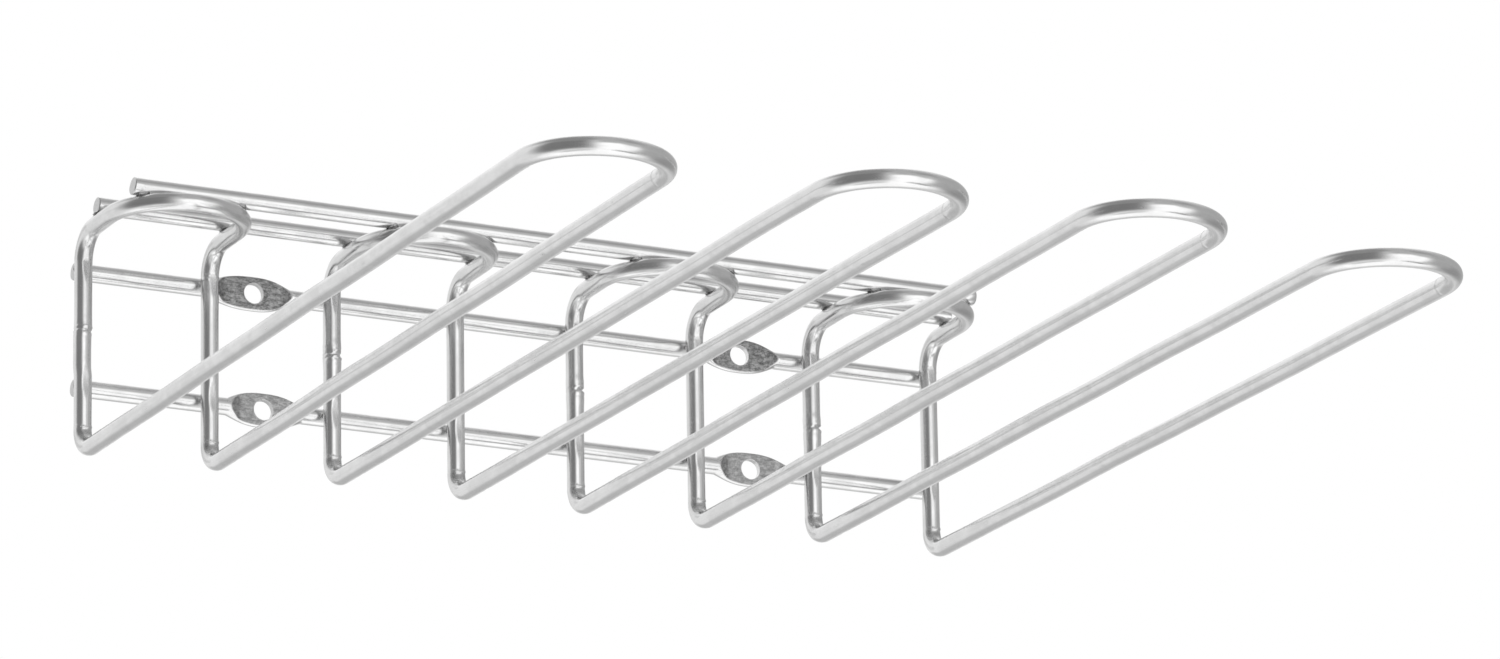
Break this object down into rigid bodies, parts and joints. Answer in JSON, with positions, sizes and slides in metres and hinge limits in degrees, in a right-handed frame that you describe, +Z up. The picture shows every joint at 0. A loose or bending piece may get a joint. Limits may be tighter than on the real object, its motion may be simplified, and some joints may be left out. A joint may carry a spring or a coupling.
{
  "type": "wall hook rack",
  "caption": "Welded steel wire wall rack with long level double-wire hooks, wall rails with pressed screw eyes, and straight rods on small upper loops that form a ledge.",
  "frame": {"origin": "on the wall, in the middle of the rack's length and halfway between the two wall rails", "axes": "+Z up, +X to the right as seen from the front, -Y away from the wall along the hooks' arms"},
  "size_m": [0.324, 0.3869, 0.0944],
  "materials": {
    "hook_wire": "bright drawn wire with faint marks along it",
    "rail": "bright drawn wire, darker and rougher where it is pressed flat",
    "rod": "bright drawn wire with sawn ends",
    "weld": "dull as-welded steel"
  },
  "bodies": {
    "root": {"hook_1": "hook_wire", "hook_2": "hook_wire", "hook_3": "hook_wire", "hook_4": "hook_wire", "hook_1_butt_weld": "weld", "hook_2_butt_weld": "weld", "hook_3_butt_weld": "weld", "hook_4_butt_weld": "weld", "upper_wall_rail": "rail", "lower_wall_rail": "rail", "rear_ledge_rod": "rod", "front_ledge_rod": "rod", "hook_1_rail_welds": "weld", "hook_2_rail_welds": "weld", "hook_3_rail_welds": "weld", "hook_4_rail_welds": "weld", "hook_1_rod_welds": "weld", "hook_2_rod_welds": "weld", "hook_3_rod_welds": "weld", "hook_4_rod_welds": "weld"}
  },
  "joints": []
}
